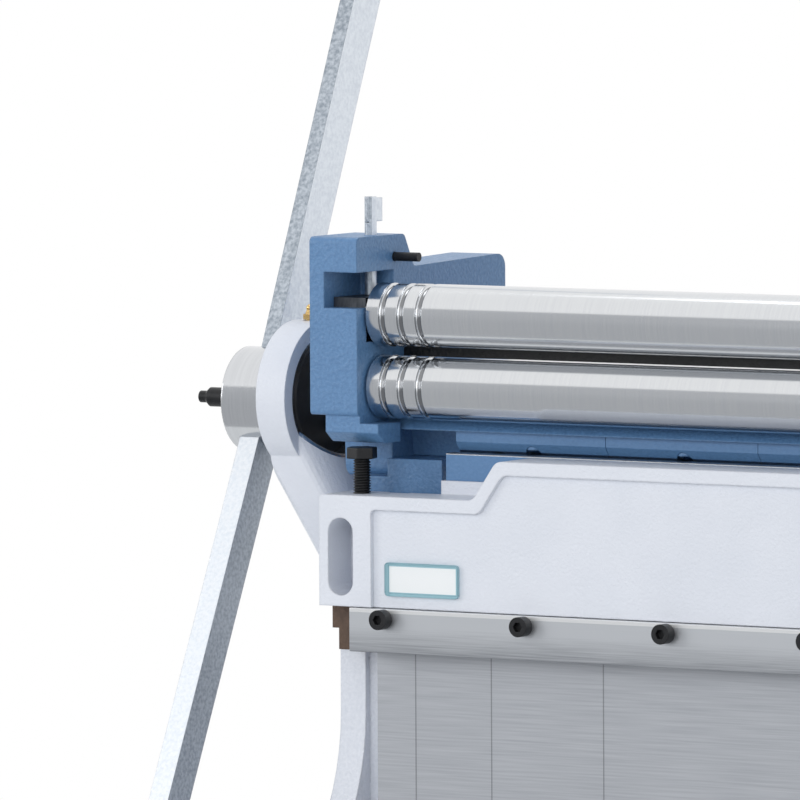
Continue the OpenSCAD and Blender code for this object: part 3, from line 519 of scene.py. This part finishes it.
def reflection_flag():
    """A grey card on the floor and up the front, which only reflections see.

    It gives polished metal its darker lower half, as a flag does in a photo studio."""
    middle = Vector((-2, -3.4, 0.02))
    size = Vector((9, 6.2, 1))
    rise = 4.2
    bpy.ops.object.select_all(action="DESELECT")
    bpy.ops.mesh.primitive_plane_add(size=1, location=middle)
    flag = bpy.context.object
    flag.name = "reflection_flag"
    flag.scale = size
    apply_place()
    bpy.context.tool_settings.mesh_select_mode = (False, True, False)
    corners = flag.data.vertices
    for corner in corners:
        corner.select = corner.co.y < middle.y
    for edge in flag.data.edges:
        edge.select = all(corners[i].select for i in edge.vertices)
    flag.data.polygons[0].select = False
    bpy.ops.object.mode_set(mode="EDIT")
    bpy.ops.mesh.extrude_region_move(TRANSFORM_OT_translate={"value": (0, 0, rise)})
    bpy.ops.object.mode_set(mode="OBJECT")
    material, tree, _ = start("grey_flag")
    grey = add(tree, "Emission", {"Color": linear("#b8babd"), "Strength": 1.0})
    add(tree, "OutputMaterial", {"Surface": grey.outputs[0]})
    flag.data.materials.append(material)
    flag.visible_camera = flag.visible_diffuse = flag.visible_shadow = False
    flag.visible_transmission = False


def surround():
    """White to the camera and in reflections, and a softer white as light."""
    soft_light = 0.58
    world = bpy.data.worlds.new("studio_surround")
    bpy.context.scene.world = world
    world.use_nodes = True
    tree = world.node_tree
    tree.nodes.clear()
    path = add(tree, "LightPath").outputs
    seen = path["Is Camera Ray"]
    for ray in ("Is Glossy Ray", "Is Transmission Ray"):
        seen = maths(tree, "MAXIMUM", seen, path[ray])
    strength = span(tree, seen, 0, 1, soft_light, 1.0)
    white = add(tree, "Background", {"Color": (1, 1, 1, 1), "Strength": strength})
    add(tree, "OutputWorld", {"Surface": white.outputs[0]})


def lamps():
    """Four softboxes, all aimed at the left end's rolls."""
    aim = Vector((-0.35, -0.05, 0.5))
    softboxes = (  # name, place and width in metres, watts
        ("key_softbox", (-1.0, -4.6, 1.7), 2.2, 40),
        ("left_softbox", (-3.6, -2.2, 1.4), 1.6, 30),
        ("top_softbox", (-1.0, 0.6, 4.4), 2.0, 42),
        ("fill_softbox", (2.2, -4.2, 2.0), 2.6, 26),
    )
    for name, place, size, power in softboxes:
        lamp = bpy.data.lights.new(name, "AREA")
        lamp.size = size
        lamp.energy = power
        holder = bpy.data.objects.new(name, lamp)
        holder.location = place
        holder.rotation_euler = (aim - Vector(place)).to_track_quat("-Z", "Y").to_euler()
        bpy.context.scene.collection.objects.link(holder)


def camera():
    """The photograph's view: a long lens, right of the front, a little above the rolls."""
    image_px = 800
    focal_px = 11000
    sensor_mm = 36
    place = Vector((3.3136, -6.1667, 1.0657))
    yaw, pitch, roll = (math.radians(a) for a in (31.95, 3.96, -0.297))
    ahead = Vector(
        (-math.sin(yaw) * math.cos(pitch), math.cos(yaw) * math.cos(pitch), -math.sin(pitch))
    )
    level = ahead.cross(Vector((0, 0, 1))).normalized()
    upright = level.cross(ahead)
    right = math.cos(roll) * level + math.sin(roll) * upright
    up = math.cos(roll) * upright - math.sin(roll) * level
    lens = bpy.data.cameras.new("photo_view")
    lens.sensor_width = sensor_mm
    lens.lens = focal_px * sensor_mm / image_px
    lens.clip_end = 100
    eye = bpy.data.objects.new("photo_view", lens)
    turn = Matrix((right, up, -ahead)).transposed().to_4x4()
    eye.matrix_world = Matrix.Translation(place) @ turn
    bpy.context.scene.collection.objects.link(eye)
    bpy.context.scene.camera = eye


blank_label()
threaded_stop("left", 15)
threaded_stop("right", 45)
studio_floor()
reflection_flag()
surround()
lamps()
camera()
bpy.context.scene.view_settings.view_transform = "Standard"
